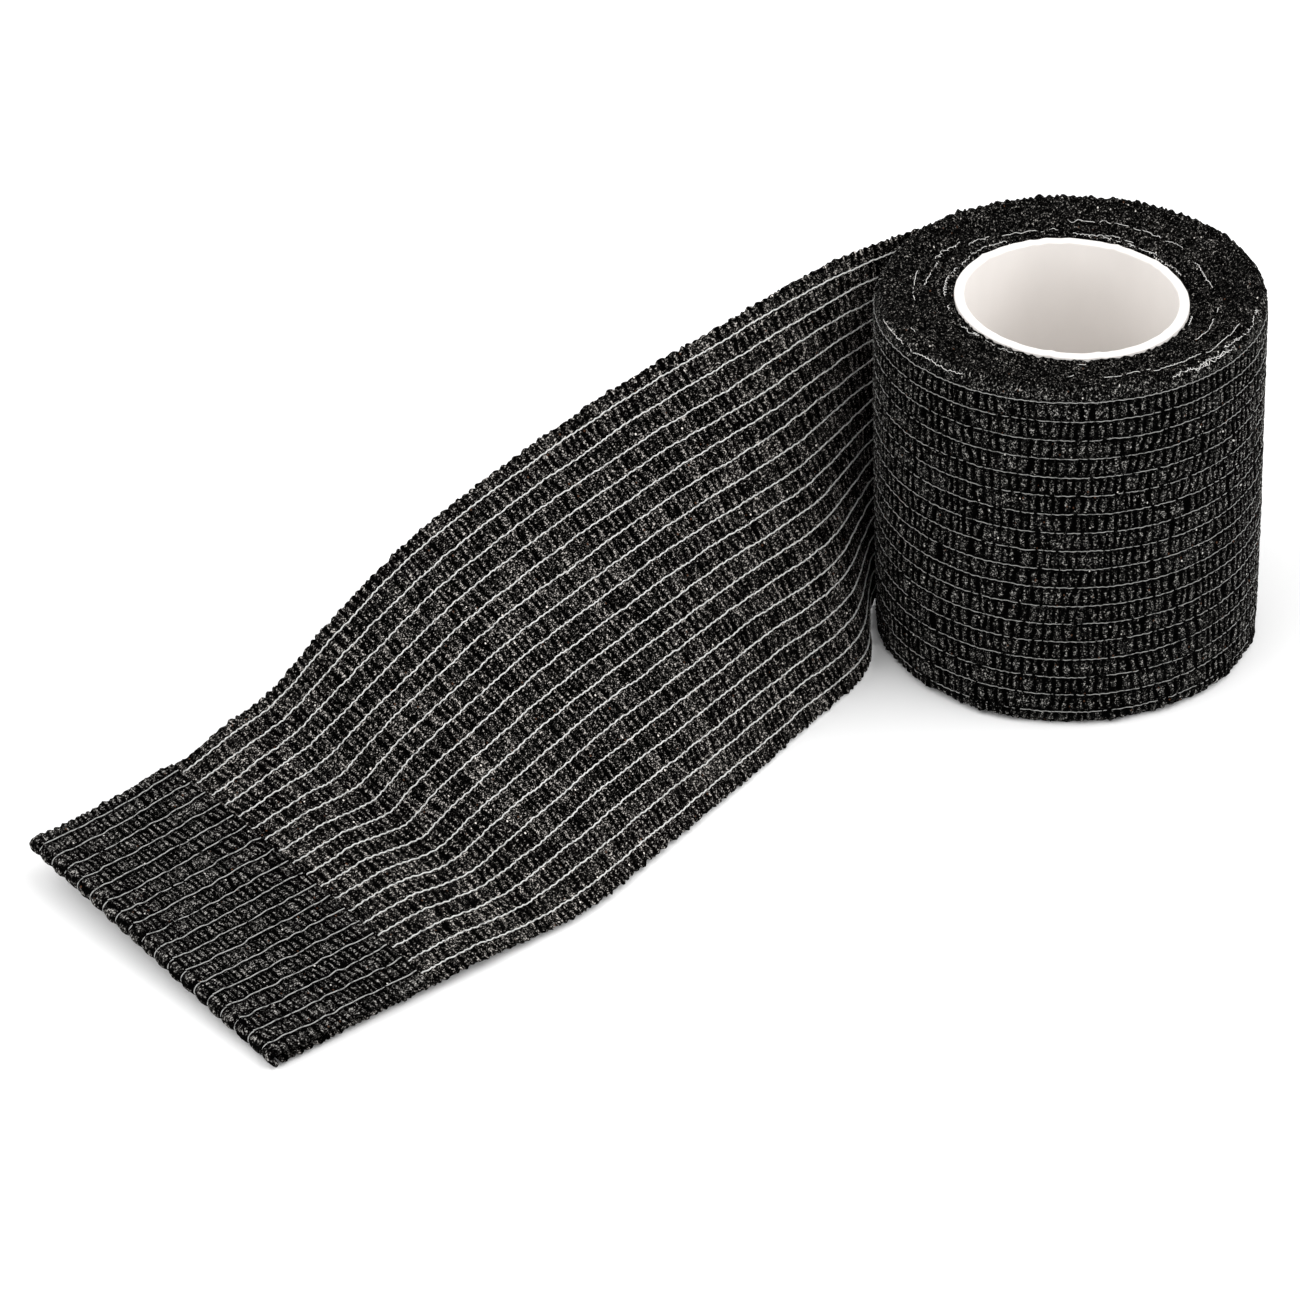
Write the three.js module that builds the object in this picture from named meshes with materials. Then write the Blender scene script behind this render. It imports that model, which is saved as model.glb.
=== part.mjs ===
import * as THREE from "three";

// A roll of self-adherent elastic tape on a plastic core, standing on its end. The outer end of
// the tape is pulled off the roll, twists down flat on to the table and is folded over as a tab.
// Millimetres, +Z up. Shapes are written about the roll's axis and moved to the part's origin last.

// Where the roll's axis stands, so that the origin is the middle of the whole part's footprint
const ROLL_X = 53.08;
const ROLL_Y = 31.47;

// Plastic core
const CORE_OUTER_R = 14.6;
const CORE_BORE_R = 13.3;
const CORE_HEIGHT = 50.4;
const CORE_CHAMFER = 0.3;
const CORE_SEGMENTS = 40;
const CORE_SHIFT_Y = -2.4; // the soft pack sits this much further back than the core

// Tack strip that holds the first turn to the core
const TACK_THICKNESS = 0.12;
const TACK_ARC = THREE.MathUtils.degToRad(24);
const TACK_SEGMENTS = 4;
const TACK_MARGIN = 3;

// Tape
const TAPE_WIDTH = 50;
const WEB_HALF = 0.19; // half the thickness of the fabric
const CLEARANCE = 0.05; // between pieces that touch
const TURN_PITCH = 0.55; // each turn lies this much further out than the one before
const TURN_SEGMENTS = 36;
const OUTER_TURN_END_R = 24.8; // to the middle of the web, where it leaves the roll
const PACK_BORE_R = 14.95;
const PEEL_ANGLE = THREE.MathUtils.degToRad(136); // where the tape leaves the roll

// Elastic threads
const THREADS = 18;
const THREAD_R = 0.16;
const THREAD_SIDES = 3;
const THREAD_PITCH = 2.7;
const TOP_MARGIN = 1.9;
const THREAD_OFFSET = WEB_HALF + CLEARANCE + THREAD_R;

// Pulled-off strip: its two edges run through stations at equal steps along the tape
const PEEL_R = 26.5;
const PEEL_STEP = THREE.MathUtils.degToRad(33);
const EDGE_REST_Z = 0.3;
const LOWER_STATIONS = [
  [-26.5, -10.5, 0.4],
  [-35, -23, 0.4],
  [-44, -35.5, 0.5],
  [-53.5, -48, 0.7],
  [-63, -60, 0.8],
  [-75, -69.5, 0.9],
  [-87.5, -78.5, 0.8],
  [-99.5, -87.5, 0.6],
];
const UPPER_STATIONS = [
  [-31, 8.5, 49.5],
  [-44.5, 0.5, 46],
  [-58, -4.5, 40.5],
  [-71, -11.5, 35],
  [-83.5, -19, 29],
  [-94.5, -26, 21],
  [-105.5, -32, 11],
  [-118.5, -39.5, 6.5],
  [-130.5, -48, 4.5],
];
const STATION_GAP = 15.3;
const LAST_STATION = 9;
const STEPS_PER_STATION = 4;
const ROWS_ACROSS = 4;
// Bow of the strip between its edges, as [station, depth]
const BOW = [[0, 0], [1.2, 2.5], [3.5, 1.7], [9, 0]];

// Folded tab
const TAB_LENGTH = 22;
const FOLD_LIFT = 1.5; // between the middles of the two layers
const STRIP_SHORT = 1.1; // the strip's own solid stops this far before the fold's axis
const BEND_START = THREE.MathUtils.degToRad(-70);
const BEND_END = THREE.MathUtils.degToRad(90);
const BEND_STEPS = 4;
const TAB_STEPS = 4;

const WHITE_PLASTIC = new THREE.MeshStandardMaterial({ color: 0xf3f1ec, roughness: 0.45, metalness: 0 });
const BLACK_FABRIC = new THREE.MeshStandardMaterial({ color: 0x1c191b, roughness: 0.95, metalness: 0 });
const PALE_THREAD = new THREE.MeshStandardMaterial({ color: 0xcbcac6, roughness: 0.7, metalness: 0 });
const CLEAR_TACK = new THREE.MeshStandardMaterial({ color: 0xd9d2bd, roughness: 0.6, metalness: 0 });

const part = new THREE.Group();
const roll = new THREE.Group();
const strip = new THREE.Group();
const tab = new THREE.Group();
part.position.set(ROLL_X, ROLL_Y, 0);
part.add(roll, strip, tab);

function addPiece(body, name, geometry, material) {
  const mesh = new THREE.Mesh(geometry, material.clone());
  mesh.name = name;
  body.add(mesh);
}

function numbered(stem, index) {
  return `${stem}_${String(index + 1).padStart(2, "0")}`;
}

// Closed solid from points and quads, turned to face outwards
function solid(points, quads, fans) {
  const triangles = [];
  for (const [a, b, c, d] of quads) {
    triangles.push([a, b, c], [a, c, d]);
  }
  for (const fan of fans) {
    for (let i = 1; i < fan.length - 1; i += 1) {
      triangles.push([fan[0], fan[i], fan[i + 1]]);
    }
  }
  let volume = 0;
  const normal = new THREE.Vector3();
  for (const [a, b, c] of triangles) {
    volume += points[a].dot(normal.crossVectors(points[b], points[c]));
  }
  const index = triangles.flatMap(([a, b, c]) => (volume < 0 ? [a, c, b] : [a, b, c]));
  const geometry = new THREE.BufferGeometry();
  geometry.setFromPoints(points);
  geometry.setIndex(index);
  return geometry;
}

// Slab from two matching grids of points, front and back
function slab(front, back) {
  const columns = front.length;
  const rows = front[0].length;
  const points = [...front.flat(), ...back.flat()];
  const at = (side, i, j) => side * columns * rows + i * rows + j;
  const quads = [];
  for (let i = 0; i < columns - 1; i += 1) {
    for (let j = 0; j < rows - 1; j += 1) {
      quads.push([at(0, i, j), at(0, i + 1, j), at(0, i + 1, j + 1), at(0, i, j + 1)]);
      quads.push([at(1, i, j), at(1, i, j + 1), at(1, i + 1, j + 1), at(1, i + 1, j)]);
    }
    quads.push([at(0, i, 0), at(1, i, 0), at(1, i + 1, 0), at(0, i + 1, 0)]);
    quads.push([at(0, i, rows - 1), at(0, i + 1, rows - 1), at(1, i + 1, rows - 1), at(1, i, rows - 1)]);
  }
  for (let j = 0; j < rows - 1; j += 1) {
    quads.push([at(0, 0, j), at(0, 0, j + 1), at(1, 0, j + 1), at(1, 0, j)]);
    const last = columns - 1;
    quads.push([at(0, last, j), at(1, last, j), at(1, last, j + 1), at(0, last, j + 1)]);
  }
  return solid(points, quads, []);
}

// Thread along a list of points, each with the direction its section's first corner faces
function thread(path) {
  const points = [];
  const quads = [];
  path.forEach(({ point, facing }, i) => {
    const before = path[Math.max(i - 1, 0)].point;
    const after = path[Math.min(i + 1, path.length - 1)].point;
    const along = after.clone().sub(before).normalize();
    const side = along.clone().cross(facing).normalize();
    const up = side.clone().cross(along);
    for (let k = 0; k < THREAD_SIDES; k += 1) {
      const turn = (k / THREAD_SIDES) * Math.PI * 2;
      const corner = point.clone();
      corner.addScaledVector(up, Math.cos(turn) * THREAD_R);
      corner.addScaledVector(side, Math.sin(turn) * THREAD_R);
      points.push(corner);
      if (i > 0) {
        const next = (k + 1) % THREAD_SIDES;
        const ring = i * THREAD_SIDES;
        const last = ring - THREAD_SIDES;
        quads.push([last + k, last + next, ring + next, ring + k]);
      }
    }
  });
  const firstRing = Array.from({ length: THREAD_SIDES }, (unused, k) => k);
  const start = points.length - THREAD_SIDES;
  const lastRing = firstRing.map((k) => start + k);
  return solid(points, quads, [firstRing.reverse(), lastRing]);
}

function threadHeight(index) {
  return TAPE_WIDTH - TOP_MARGIN - index * THREAD_PITCH;
}

// ---- core ----

function coreGeometry() {
  const c = CORE_CHAMFER;
  const profile = [
    [CORE_BORE_R + c, 0],
    [CORE_OUTER_R - c, 0],
    [CORE_OUTER_R, c],
    [CORE_OUTER_R, CORE_HEIGHT - c],
    [CORE_OUTER_R - c, CORE_HEIGHT],
    [CORE_BORE_R + c, CORE_HEIGHT],
    [CORE_BORE_R, CORE_HEIGHT - c],
    [CORE_BORE_R, c],
    [CORE_BORE_R + c, 0],
  ].map(([r, z]) => new THREE.Vector2(r, z));
  const geometry = new THREE.LatheGeometry(profile, CORE_SEGMENTS);
  geometry.rotateX(Math.PI / 2);
  geometry.translate(0, CORE_SHIFT_Y, 0);
  return geometry;
}

function tackGeometry() {
  const inner = [];
  const outer = [];
  for (let i = 0; i <= TACK_SEGMENTS; i += 1) {
    const angle = PEEL_ANGLE + (i / TACK_SEGMENTS) * TACK_ARC;
    const column = (radius) => [TACK_MARGIN, TAPE_WIDTH - TACK_MARGIN].map(
      (z) => new THREE.Vector3(radius * Math.cos(angle), radius * Math.sin(angle) + CORE_SHIFT_Y, z),
    );
    inner.push(column(CORE_OUTER_R + CLEARANCE));
    outer.push(column(CORE_OUTER_R + CLEARANCE + TACK_THICKNESS));
  }
  return slab(outer, inner);
}

// ---- wound tape ----

// Point on the outer turn's spiral, with share from 0 at its start to 1 where the tape leaves the
// roll, and out measured from the middle of the web
function turnPoint(share, out, z) {
  const radius = OUTER_TURN_END_R - TURN_PITCH * (1 - share) + out;
  const angle = PEEL_ANGLE + share * Math.PI * 2;
  return new THREE.Vector3(radius * Math.cos(angle), radius * Math.sin(angle), z);
}

const turnShares = Array.from({ length: TURN_SEGMENTS + 1 }, (unused, i) => i / TURN_SEGMENTS);

// The inner turns, stuck to each other. Their outside follows the spiral, with a step one web
// high where the outer turn starts.
function packGeometry() {
  const outline = turnShares.map((share) => {
    const point = turnPoint(share, -WEB_HALF - CLEARANCE, 0);
    return new THREE.Vector2(point.x, point.y);
  });
  const shape = new THREE.Shape(outline);
  const bore = new THREE.Path();
  bore.absarc(0, CORE_SHIFT_Y, PACK_BORE_R, 0, Math.PI * 2, true);
  shape.holes.push(bore);
  const options = { depth: TAPE_WIDTH, bevelEnabled: false, curveSegments: CORE_SEGMENTS };
  return new THREE.ExtrudeGeometry(shape, options);
}

function outerTurnGeometry() {
  const edges = (share, out) => [turnPoint(share, out, 0), turnPoint(share, out, TAPE_WIDTH)];
  const face = (out) => turnShares.map((share) => edges(share, out));
  return slab(face(WEB_HALF), face(-WEB_HALF));
}

function rollThreadPath(index) {
  return turnShares.map((share) => {
    const point = turnPoint(share, THREAD_OFFSET, threadHeight(index));
    return { point, facing: new THREE.Vector3(point.x, point.y, 0).normalize() };
  });
}

// ---- pulled-off strip ----

function onPeelCircle(steps, z) {
  const angle = PEEL_ANGLE + steps * PEEL_STEP;
  return new THREE.Vector3(PEEL_R * Math.cos(angle), PEEL_R * Math.sin(angle), z);
}

function edgeCurve(onRoll, stations) {
  const points = [...onRoll, ...stations.map((p) => new THREE.Vector3(...p))];
  const last = points[points.length - 1];
  points.push(last.clone().multiplyScalar(2).sub(points[points.length - 2]));
  return new THREE.CatmullRomCurve3(points, false, "catmullrom", 0.5);
}

// Both curves have one point before station 0 and one after the last, which only steer them
const lowerEdge = edgeCurve([-1, 0, 1].map((k) => onPeelCircle(k, EDGE_REST_Z)), LOWER_STATIONS);
const upperEdge = edgeCurve([-1, 0].map((k) => onPeelCircle(k, TAPE_WIDTH + EDGE_REST_Z)), UPPER_STATIONS);

function edgePoint(curve, station) {
  return curve.getPoint((station + 1) / (LAST_STATION + 2));
}

function bowDepth(station) {
  const next = Math.max(1, BOW.findIndex(([s]) => s >= station));
  const [s0, d0] = BOW[next - 1];
  const [s1, d1] = BOW[next];
  return THREE.MathUtils.mapLinear(station, s0, s1, d0, d1);
}

// Direction the strip's inner face looks at a station
function stripFacing(station) {
  const nudge = 0.05;
  const ahead = edgePoint(lowerEdge, station + nudge).add(edgePoint(upperEdge, station + nudge));
  const behind = edgePoint(lowerEdge, station - nudge).add(edgePoint(upperEdge, station - nudge));
  const across = edgePoint(upperEdge, station).sub(edgePoint(lowerEdge, station));
  return across.cross(ahead.sub(behind)).normalize();
}

// Point of the strip at a station, a share of the width up from its lower edge, raised off it
function stripPoint(station, share, raised) {
  const point = edgePoint(lowerEdge, station).lerp(edgePoint(upperEdge, station), share);
  const bow = bowDepth(station) * 4 * share * (1 - share);
  return point.addScaledVector(stripFacing(station), bow + raised);
}

function stripStations() {
  const count = LAST_STATION * STEPS_PER_STATION;
  const end = LAST_STATION - STRIP_SHORT / STATION_GAP;
  return Array.from({ length: count + 1 }, (unused, i) => (i / count) * end);
}

const shares = Array.from({ length: ROWS_ACROSS + 1 }, (unused, j) => j / ROWS_ACROSS);

function stripGeometry() {
  const face = (raised) => stripStations().map((s) => shares.map((share) => stripPoint(s, share, raised)));
  return slab(face(WEB_HALF), face(-WEB_HALF));
}

function stripThreadPath(index) {
  const share = threadHeight(index) / TAPE_WIDTH;
  return stripStations().map((s) => ({ point: stripPoint(s, share, THREAD_OFFSET), facing: stripFacing(s) }));
}

// ---- folded tab ----

const foldLow = edgePoint(lowerEdge, LAST_STATION);
const foldHigh = edgePoint(upperEdge, LAST_STATION);
const foldUp = stripFacing(LAST_STATION);
const foldAlong = foldHigh.clone().sub(foldLow).normalize();
const foldOut = foldUp.clone().cross(foldAlong).normalize();

// Columns of the tab: first round the bend, then back over the strip. "inside" is measured from
// the web's middle towards the inside of the fold.
function tabColumns(inside) {
  const columns = [];
  for (let i = 0; i < BEND_STEPS; i += 1) {
    const angle = THREE.MathUtils.lerp(BEND_START, BEND_END, i / BEND_STEPS);
    const facing = foldOut.clone().multiplyScalar(Math.cos(angle)).addScaledVector(foldUp, Math.sin(angle));
    const reach = FOLD_LIFT / 2 - inside;
    const at = (share) => foldLow.clone().lerp(foldHigh, share)
      .addScaledVector(foldUp, FOLD_LIFT / 2).addScaledVector(facing, reach);
    columns.push({ at, facing });
  }
  for (let i = 0; i <= TAB_STEPS; i += 1) {
    const station = LAST_STATION - (i / TAB_STEPS) * (TAB_LENGTH / STATION_GAP);
    const at = (share) => stripPoint(station, share, FOLD_LIFT - inside);
    columns.push({ at, facing: stripFacing(station) });
  }
  return columns;
}

function tabGeometry() {
  const face = (inside) => tabColumns(inside).map(({ at }) => shares.map(at));
  return slab(face(-WEB_HALF), face(WEB_HALF));
}

function tabThreadPath(index) {
  const share = threadHeight(index) / TAPE_WIDTH;
  const columns = tabColumns(THREAD_OFFSET);
  return columns.map(({ at, facing }) => ({ point: at(share), facing: facing.clone().negate() }));
}

addPiece(roll, "core_tube", coreGeometry(), WHITE_PLASTIC);
addPiece(roll, "core_tack_strip", tackGeometry(), CLEAR_TACK);
addPiece(roll, "wound_tape", packGeometry(), BLACK_FABRIC);
addPiece(roll, "outer_turn", outerTurnGeometry(), BLACK_FABRIC);
addPiece(strip, "strip_web", stripGeometry(), BLACK_FABRIC);
addPiece(tab, "tab_web", tabGeometry(), BLACK_FABRIC);
for (let i = 0; i < THREADS; i += 1) {
  addPiece(roll, numbered("roll_thread", i), thread(rollThreadPath(i)), PALE_THREAD);
  addPiece(strip, numbered("strip_thread", i), thread(stripThreadPath(i)), PALE_THREAD);
  addPiece(tab, numbered("tab_thread", i), thread(tabThreadPath(i)), PALE_THREAD);
}

export default part;
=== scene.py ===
import math

import bpy
import numpy as np
from mathutils import Matrix, Vector


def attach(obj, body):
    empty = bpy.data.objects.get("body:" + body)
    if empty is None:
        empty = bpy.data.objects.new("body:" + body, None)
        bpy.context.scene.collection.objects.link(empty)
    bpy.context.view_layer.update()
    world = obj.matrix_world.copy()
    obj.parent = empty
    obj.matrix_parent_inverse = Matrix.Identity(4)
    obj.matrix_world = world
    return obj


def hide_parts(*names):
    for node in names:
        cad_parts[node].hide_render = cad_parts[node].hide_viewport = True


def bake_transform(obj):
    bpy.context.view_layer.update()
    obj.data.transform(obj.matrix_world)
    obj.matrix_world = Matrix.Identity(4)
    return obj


# A roll of black elastic wrap with a strip pulled off it. The roll, the strip and the folded tab are
# closed meshes whose crinkles come from seeded noise. Each mesh of fabric or thread carries an
# attribute, tape, that says where a point is on the tape, and its material is laid out by that.

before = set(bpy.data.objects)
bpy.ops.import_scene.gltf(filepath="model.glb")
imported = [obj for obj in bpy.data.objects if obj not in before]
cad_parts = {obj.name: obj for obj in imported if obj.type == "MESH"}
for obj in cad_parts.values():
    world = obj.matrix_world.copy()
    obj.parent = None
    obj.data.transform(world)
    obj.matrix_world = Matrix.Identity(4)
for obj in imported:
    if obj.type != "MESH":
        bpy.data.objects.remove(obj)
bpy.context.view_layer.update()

MM = 0.001

# ---- sizes, in millimetres about the roll's axis ----
# A size that the CAD source has too has its value there, unless a comment gives the CAD's own.

ROLL_X, ROLL_Y = 53.08, 31.47

CORE_OUTER_R = 14.6
CORE_BORE_R = 13.3
CORE_HEIGHT = 50.4
CORE_SHIFT_Y = -2.85  # CAD: -2.4
CORE_STRETCH_Y = 1.033  # the core is squeezed a little out of round, and the CAD core is round
CORE_OVAL = -0.08  # and askew: y moves by this share of x
CORE_COLUMNS = 160
CORNER_POINTS = 5
WALL_STEP = 5
RIM_ROUND = 0.2
RIM_BURR = 0.25

TAPE_WIDTH = 50.0
PACK_BORE_R = 14.62  # close on the core; CAD: 14.95, clear of it
PACK_OUTER_R = 25.0  # to the outer face; CAD: 24.8, to the middle of the web
TURN_PITCH = 0.55
PEEL_ANGLE = math.radians(136)
PEEL_EASE = 0.06  # share of a turn over which the step where the tape leaves fades out

THREADS = 18
THREAD_PITCH = 2.7
TOP_MARGIN = 1.9

PEEL_R = 25.45  # close on the roll; CAD: 26.5, clear of it
PEEL_STEP = math.radians(33)
START_SUNK = 0.62  # not in CAD
LOWER_START_Z = 0.3
UPPER_START_Z = TAPE_WIDTH - 0.25  # CAD: TAPE_WIDTH + 0.3
LOWER_STATIONS = [
    (-26.5, -10.5, 0.4), (-35, -23, 0.4), (-44, -35.5, 0.5), (-53.5, -48, 0.7),
    (-63, -60, 0.8), (-75, -69.5, 0.9), (-87.5, -78.5, 0.8), (-99.5, -87.5, 0.6),
]
UPPER_STATIONS = [
    (-31, 8.5, 49.5), (-44.5, 0.5, 46), (-58, -4.5, 40.5), (-71, -11.5, 35), (-83.5, -19, 29),
    (-94.5, -26, 21), (-105.5, -32, 11), (-118.5, -39.5, 6.5), (-130.5, -48, 4.5),
]
STATION_GAP = 15.3
LAST_STATION = 9
STRIP_END = LAST_STATION - 0.02
BOW = [(0, 0), (1.2, 2.5), (3.5, 1.7), (9, 0)]  # station, and how far the strip bows out there

CREASE_DEPTH = 2.8
CREASE_STATION = 6.45  # at the lower edge
CREASE_SLANT = 0.42  # stations from the lower edge to the upper one
RIDGE_STATION = 7.15
RIDGE_WIDTH = 0.35

TAB_LENGTH = 22.0
TAB_SKEW = 0.085  # the cut is a little skew: the tab is about 2 mm shorter at its far edge
FOLD_LIFT = 1.5
FOLD_SINK = 0.6  # the tab settles this much lower behind the fold
BEND_LENGTH = math.pi * FOLD_LIFT / 2

WEB_HALF = 0.17  # CAD: 0.19
REVERSE_V = 70.0  # added to the tape coordinate across on a sheet's second face
END_V = 150.0  # on the roll's two ends the tape coordinates are x, and this plus y
TAB_S = 300  # added to the tape coordinate along on the tab

# ---- crinkles: their pitch along the tape in mm, and the seed of their noise ----

ROLL_CRINKLE, ROLL_SEED = 1.22, 11
STRIP_CRINKLE, STRIP_SEED = 1.05, 111
TAB_CRINKLE, TAB_SEED = 1.0, 211
OUTER_FACE_CRINKLE, OUTER_FACE_SEED = 1.4, 141

# ---- threads and yarn: radii in mm ----

TUBE_SIDES = 6
ROLL_THREAD_R = 0.055
STRIP_THREAD_R = 0.10
TAB_THREAD_R = 0.08
FOLD_THREAD_R = 0.095
INNER_TAB_THREAD_R = 0.09
YARN_R = 0.038

FINE = 1.0  # mesh steps are this much wider while trying things

# ---- noise ----


def lattice(seed, size=256):
    return np.random.default_rng(seed).random((size, size))


def noise(x, y, seed):
    """Smooth value noise from 0 to 1, one feature per unit. Each seed has its own lattice."""
    table = lattice(seed)
    size = len(table)
    x, y = np.broadcast_arrays(np.asarray(x, float), np.asarray(y, float))
    ix, iy = np.floor(x).astype(int), np.floor(y).astype(int)
    fx, fy = x - ix, y - iy
    fx, fy = fx * fx * (3 - 2 * fx), fy * fy * (3 - 2 * fy)
    a, b = table[ix % size, iy % size], table[(ix + 1) % size, iy % size]
    c, d = table[ix % size, (iy + 1) % size], table[(ix + 1) % size, (iy + 1) % size]
    return (a * (1 - fx) + b * fx) * (1 - fy) + (c * (1 - fx) + d * fx) * fy


def thread_heights():
    return TAPE_WIDTH - TOP_MARGIN - THREAD_PITCH * np.arange(THREADS)


def thread_nodes(place_name):
    return [f"{place_name}_thread_{i + 1:02d}" for i in range(THREADS)]


def cells(v):
    """Which row between two threads a height is in, and how far across it from 0 to 1."""
    position = (TAPE_WIDTH - TOP_MARGIN - v) / THREAD_PITCH
    row = np.floor(position)
    return row, position - row


def crinkle_phase(s, v, pitch, seed):
    """Count of crinkles along the tape; they line up from row to row and wander slowly."""
    row, _ = cells(v)
    shared = 3.0 * noise(s / 16, v / 15, seed) + 0.8 * noise(s / 3.2, v / 6, seed + 1)
    own = 0.9 * noise(s / 2.6, row * 3.7 + 0.5, seed + 2)
    wiggle = 0.35 * noise(s / 0.9, v / 0.8, seed + 5)
    return s / pitch + shared + own + wiggle


def puckers(s, v, pitch, seed):
    """Crinkles across the tape between threads, 0 in a gap and 1 on a ridge."""
    row, across = cells(v)
    wave = 0.5 + 0.5 * np.cos(2 * math.pi * crinkle_phase(s, v, pitch, seed))
    depth = np.clip(1.3 * noise(s / 1.3, row * 2.9 + 0.5, seed + 3) + 0.10, 0.05, 1)
    pinch = np.sin(math.pi * np.clip(across, 0.02, 0.98)) ** 0.4
    return 1 - depth * pinch * (1 - wave) ** 3


def knobs(s, seed):
    """Rounded bumps about 1 mm long in a row, from 0 to 1, for gathered selvedges."""
    wave = np.abs(np.sin(math.pi * (s / 1.15 + 2.2 * noise(s / 1.9, 0.5 + 0 * s, seed))))
    return wave**0.6 * (0.25 + 0.75 * noise(s / 0.8, 4.5 + 0 * s, seed + 1))


def grain(s, v, seed):
    """Fine lumps of the fabric, about -1 to 1."""
    return (noise(s / 0.5, v / 0.55, seed) + 0.7 * noise(s / 0.3, v / 0.33, seed + 1)) / 0.85 - 1


def from_selvedge(v):
    return np.minimum(v, TAPE_WIDTH - v)


# ---- mesh helpers ----


def new_object(name, points, quads):
    mesh = bpy.data.meshes.new(name)
    mesh.vertices.add(len(points))
    mesh.vertices.foreach_set("co", np.asarray(points, np.float32).ravel())
    mesh.loops.add(quads.size)
    mesh.loops.foreach_set("vertex_index", quads.astype(np.int32).ravel())
    mesh.polygons.add(len(quads))
    mesh.polygons.foreach_set("loop_start", np.arange(0, quads.size, 4, dtype=np.int32))
    mesh.polygons.foreach_set("loop_total", np.full(len(quads), 4, np.int32))
    mesh.update(calc_edges=True)
    mesh.validate()
    mesh.polygons.foreach_set("use_smooth", np.ones(len(mesh.polygons), bool))
    obj = bpy.data.objects.new(name, mesh)
    bpy.context.scene.collection.objects.link(obj)
    return obj


def place(points):
    """Millimetres about the roll's axis to metres in the frame."""
    return (np.asarray(points, float) + (ROLL_X, ROLL_Y, 0)) * MM


def polar(radius, angle, z):
    """Points about the roll's axis from arrays that broadcast together."""
    return np.stack(np.broadcast_arrays(radius * np.cos(angle), radius * np.sin(angle), z), -1)


def full_turn(columns):
    return np.linspace(0, 2 * math.pi, columns, endpoint=False)


def grid_quads(n, m, close_n=False, close_m=False):
    i = np.arange(n if close_n else n - 1)
    j = np.arange(m if close_m else m - 1)
    i, j = [a.ravel() for a in np.meshgrid(i, j, indexing="ij")]
    i2, j2 = (i + 1) % n, (j + 1) % m
    return np.stack([i * m + j, i2 * m + j, i2 * m + j2, i * m + j2], -1)


def set_tape_attribute(obj, coordinates):
    """Where each point is on the tape: along it and across it in mm, and how high its crinkle is; on
    the fabric that height paints shade into the gaps.
    """
    layer = obj.data.attributes.new("tape", "FLOAT_VECTOR", "POINT")
    layer.data.foreach_set("vector", np.asarray(coordinates, np.float32).ravel())


def facing_out(obj):
    """Turns the faces over if the closed mesh is inside out."""
    mesh = obj.data
    mesh.calc_loop_triangles()
    co = np.empty(len(mesh.vertices) * 3, np.float32)
    mesh.vertices.foreach_get("co", co)
    co = co.reshape(-1, 3).astype(float)
    tri = np.empty(len(mesh.loop_triangles) * 3, np.int32)
    mesh.loop_triangles.foreach_get("vertices", tri)
    a, b, c = (co[tri.reshape(-1, 3)[:, k]] for k in range(3))
    if (np.cross(a, b) * c).sum() < 0:
        mesh.flip_normals()
    return obj


def slab(name, inner, outer, inner_tape, outer_tape):
    """Closed sheet from matching grids of points [along, across, 3] for its two faces."""
    n, m, _ = inner.shape
    loop = np.concatenate([inner, outer[:, ::-1]], axis=1)
    tape = np.concatenate([inner_tape, outer_tape[:, ::-1]], axis=1)
    quads = grid_quads(n, 2 * m, close_m=True)
    j = np.arange(m - 1)
    first = np.stack([j, j + 1, 2 * m - 2 - j, 2 * m - 1 - j], -1)
    last = first[:, ::-1] + (n - 1) * 2 * m
    obj = new_object(name, place(loop.reshape(-1, 3)), np.concatenate([quads, first, last]))
    set_tape_attribute(obj, tape.reshape(-1, 3))
    return facing_out(obj)


def unit(vectors):
    return vectors / (np.linalg.norm(vectors, axis=1, keepdims=True) + 1e-12)


def ring_directions(path, turn):
    """At each point of a path, unit vectors square to it at the angles of turn."""
    along = unit(np.gradient(path, axis=0))
    guide = np.array([0.13, 0.21, 0.97])
    if abs(along[0] @ guide) >= 0.8:
        guide = np.array([1.0, 0, 0.1])
    side = unit(np.cross(along, guide))
    up = np.cross(side, along)
    return np.cos(turn)[None, :, None] * up[:, None] + np.sin(turn)[None, :, None] * side[:, None]


def cap_quads(start, flip):
    """End cap of a tube's ring as a fan of quads."""
    fans = [[start, start + k, start + k + 1, start + k + 2] for k in range(1, TUBE_SIDES - 1, 2)]
    return [f[::-1] if flip else f for f in fans]


def tubes(name, paths, radius):
    """Closed round tubes, one along each path [points, 3] in millimetres."""
    turn = full_turn(TUBE_SIDES)
    points, quads, caps, tape, start = [], [], [], [], 0
    for index, path in enumerate(paths):
        points.append((path[:, None] + radius * ring_directions(path, turn)).reshape(-1, 3))
        quads.append(grid_quads(len(path), TUBE_SIDES, close_m=True) + start)
        last_ring = start + (len(path) - 1) * TUBE_SIDES
        caps += cap_quads(start, False) + cap_quads(last_ring, True)
        length = np.r_[0, np.cumsum(np.linalg.norm(np.diff(path, axis=0), axis=1))]
        place_on_tape = np.broadcast_arrays(length[:, None], index * 3.1, turn * radius)
        tape.append(np.stack(place_on_tape, -1).reshape(-1, 3))
        start += len(path) * TUBE_SIDES
    obj = new_object(name, place(np.concatenate(points)), np.concatenate(quads + [np.array(caps)]))
    set_tape_attribute(obj, np.concatenate(tape))
    return facing_out(obj)


# ---- strip surface ----


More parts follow.
